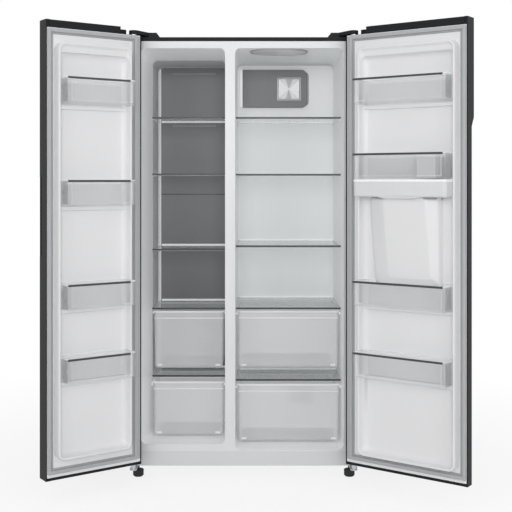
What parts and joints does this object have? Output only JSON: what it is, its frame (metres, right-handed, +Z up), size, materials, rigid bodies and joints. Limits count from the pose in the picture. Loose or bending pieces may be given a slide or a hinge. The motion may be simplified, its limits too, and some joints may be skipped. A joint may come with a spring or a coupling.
{
  "type": "side by side refrigerator",
  "caption": "Free-standing side by side refrigerator, freezer left and fridge right, with shelved doors, drawers, glass shelves and a water dispenser in the fridge door.",
  "frame": {"origin": "on the floor plane, under the middle of the cabinet's footprint", "axes": "+X to the right as seen from the front, +Y to the back, +Z up; the doors face -Y"},
  "size_m": [1.6185, 1.0239, 1.79],
  "materials": {
    "dark_steel": "satin, fine brushed",
    "back_steel": "galvanised",
    "foam": "matte",
    "frame_white": "satin",
    "liner_white": "satin",
    "apron_white": "satin",
    "plated_steel": "zinc plated",
    "panel_grey": "satin",
    "fin_aluminium": "plain",
    "motor_black": "matte",
    "fan_white": "matte",
    "shelf_glass": "clear",
    "trim_grey": "satin",
    "clear_plastic": "clear",
    "outlet_chrome": "spun",
    "lamp_white": "opal",
    "vent_grey": "satin",
    "shell_black": "gloss",
    "rubber_black": "matte",
    "black_plastic": "fine grain",
    "seal_grey": "matte",
    "tank_plastic": "translucent",
    "panel_black": "gloss"
  },
  "bodies": {
    "cabinet": {"cabinet_shell": "dark_steel", "back_panel": "back_steel", "cabinet_foam": "foam", "front_frame": "frame_white", "kick_plate": "apron_white", "base_pan": "plated_steel", "freezer_liner": "liner_white", "fridge_liner": "liner_white", "machine_bay": "plated_steel", "machine_cover": "shell_black", "freezer_back_panel": "panel_grey", "evaporator": "fin_aluminium", "fan_motors": "motor_black", "freezer_shelf_glass": "shelf_glass", "fridge_shelf_glass": "shelf_glass", "shelf_trims": "trim_grey", "drawer_runners": "liner_white", "air_duct_cover": "liner_white", "duct_fascia": "panel_grey", "air_outlet_plate": "outlet_chrome", "ceiling_lamp": "lamp_white", "crisper_vent": "vent_grey", "compressor": "shell_black", "compressor_mounts": "rubber_black", "condenser": "shell_black", "evaporation_tray": "motor_black", "roller_brackets": "plated_steel", "hinges": "plated_steel", "hinge_covers": "black_plastic", "fasteners": "plated_steel"},
    "freezer_door": {"freezer_door_skin": "dark_steel", "freezer_door_foam": "foam", "freezer_door_liner": "liner_white", "freezer_door_gasket": "seal_grey", "freezer_door_caps": "black_plastic", "freezer_door_bins": "clear_plastic", "freezer_bin_trims": "trim_grey"},
    "fridge_door": {"bin_box": "clear_plastic", "fridge_door_skin": "dark_steel", "fridge_door_foam": "foam", "fridge_door_liner": "liner_white", "fridge_door_gasket": "seal_grey", "fridge_door_caps": "black_plastic", "fridge_door_bins": "clear_plastic", "fridge_bin_trims": "trim_grey", "water_tank": "tank_plastic", "tank_lid": "liner_white", "dispenser_recess": "panel_black", "dispenser_front": "panel_black"},
    "freezer_drawer_upper": {"freezer_drawer_upper": "clear_plastic"},
    "freezer_drawer_lower": {"freezer_drawer_lower": "clear_plastic"},
    "crisper_upper": {"crisper_upper": "clear_plastic"},
    "crisper_lower": {"crisper_lower": "clear_plastic"},
    "dispenser_lever": {"dispenser_lever": "black_plastic"},
    "evaporator_fan": {"evaporator_fan": "fan_white"},
    "condenser_fan": {"condenser_fan": "motor_black"},
    "front_foot_left": {"front_foot_left": "black_plastic"},
    "front_foot_right": {"front_foot_right": "black_plastic"},
    "rear_roller_left": {"rear_roller_left": "black_plastic"},
    "rear_roller_right": {"rear_roller_right": "black_plastic"}
  },
  "joints": [
    {"name": "freezer_door_hinge", "type": "hinge", "parent": "cabinet", "child": "freezer_door", "pos_m": [-0.437, -0.352, 0.9], "axis": [0, 0, -1], "range_deg": [-145, 0]},
    {"name": "fridge_door_hinge", "type": "hinge", "parent": "cabinet", "child": "fridge_door", "pos_m": [0.437, -0.352, 0.9], "axis": [0, 0, 1], "range_deg": [-145, 0]},
    {"name": "freezer_drawer_upper_slide", "type": "slide", "parent": "cabinet", "child": "freezer_drawer_upper", "axis": [0, -1, 0], "range_m": [0, 0.24]},
    {"name": "freezer_drawer_lower_slide", "type": "slide", "parent": "cabinet", "child": "freezer_drawer_lower", "axis": [0, -1, 0], "range_m": [0, 0.19]},
    {"name": "crisper_upper_slide", "type": "slide", "parent": "cabinet", "child": "crisper_upper", "axis": [0, -1, 0], "range_m": [0, 0.29]},
    {"name": "crisper_lower_slide", "type": "slide", "parent": "cabinet", "child": "crisper_lower", "axis": [0, -1, 0], "range_m": [0, 0.19]},
    {"name": "dispenser_lever_hinge", "type": "hinge", "parent": "fridge_door", "child": "dispenser_lever", "pos_m": [0.61901, -0.49654, 1.094], "axis": [-0.8192, 0.5736, 0], "range_deg": [0, 10], "stiffness_Nm_per_rad": 0.4},
    {"name": "evaporator_fan_spin", "type": "hinge", "parent": "cabinet", "child": "evaporator_fan", "pos_m": [-0.229, 0.155, 1.06], "axis": [0, 1, 0], "continuous": true},
    {"name": "condenser_fan_spin", "type": "hinge", "parent": "cabinet", "child": "condenser_fan", "pos_m": [-0.095, 0.199, 0.145], "axis": [1, 0, 0], "continuous": true},
    {"name": "front_foot_left_turn", "type": "hinge", "parent": "cabinet", "child": "front_foot_left", "pos_m": [-0.425, -0.285, 0.02], "axis": [0, 0, 1], "continuous": true},
    {"name": "front_foot_right_turn", "type": "hinge", "parent": "cabinet", "child": "front_foot_right", "pos_m": [0.425, -0.285, 0.02], "axis": [0, 0, 1], "continuous": true},
    {"name": "rear_roller_left_spin", "type": "hinge", "parent": "cabinet", "child": "rear_roller_left", "pos_m": [-0.4, 0.24, 0.021], "axis": [1, 0, 0], "continuous": true},
    {"name": "rear_roller_right_spin", "type": "hinge", "parent": "cabinet", "child": "rear_roller_right", "pos_m": [0.4, 0.24, 0.021], "axis": [1, 0, 0], "continuous": true}
  ]
}
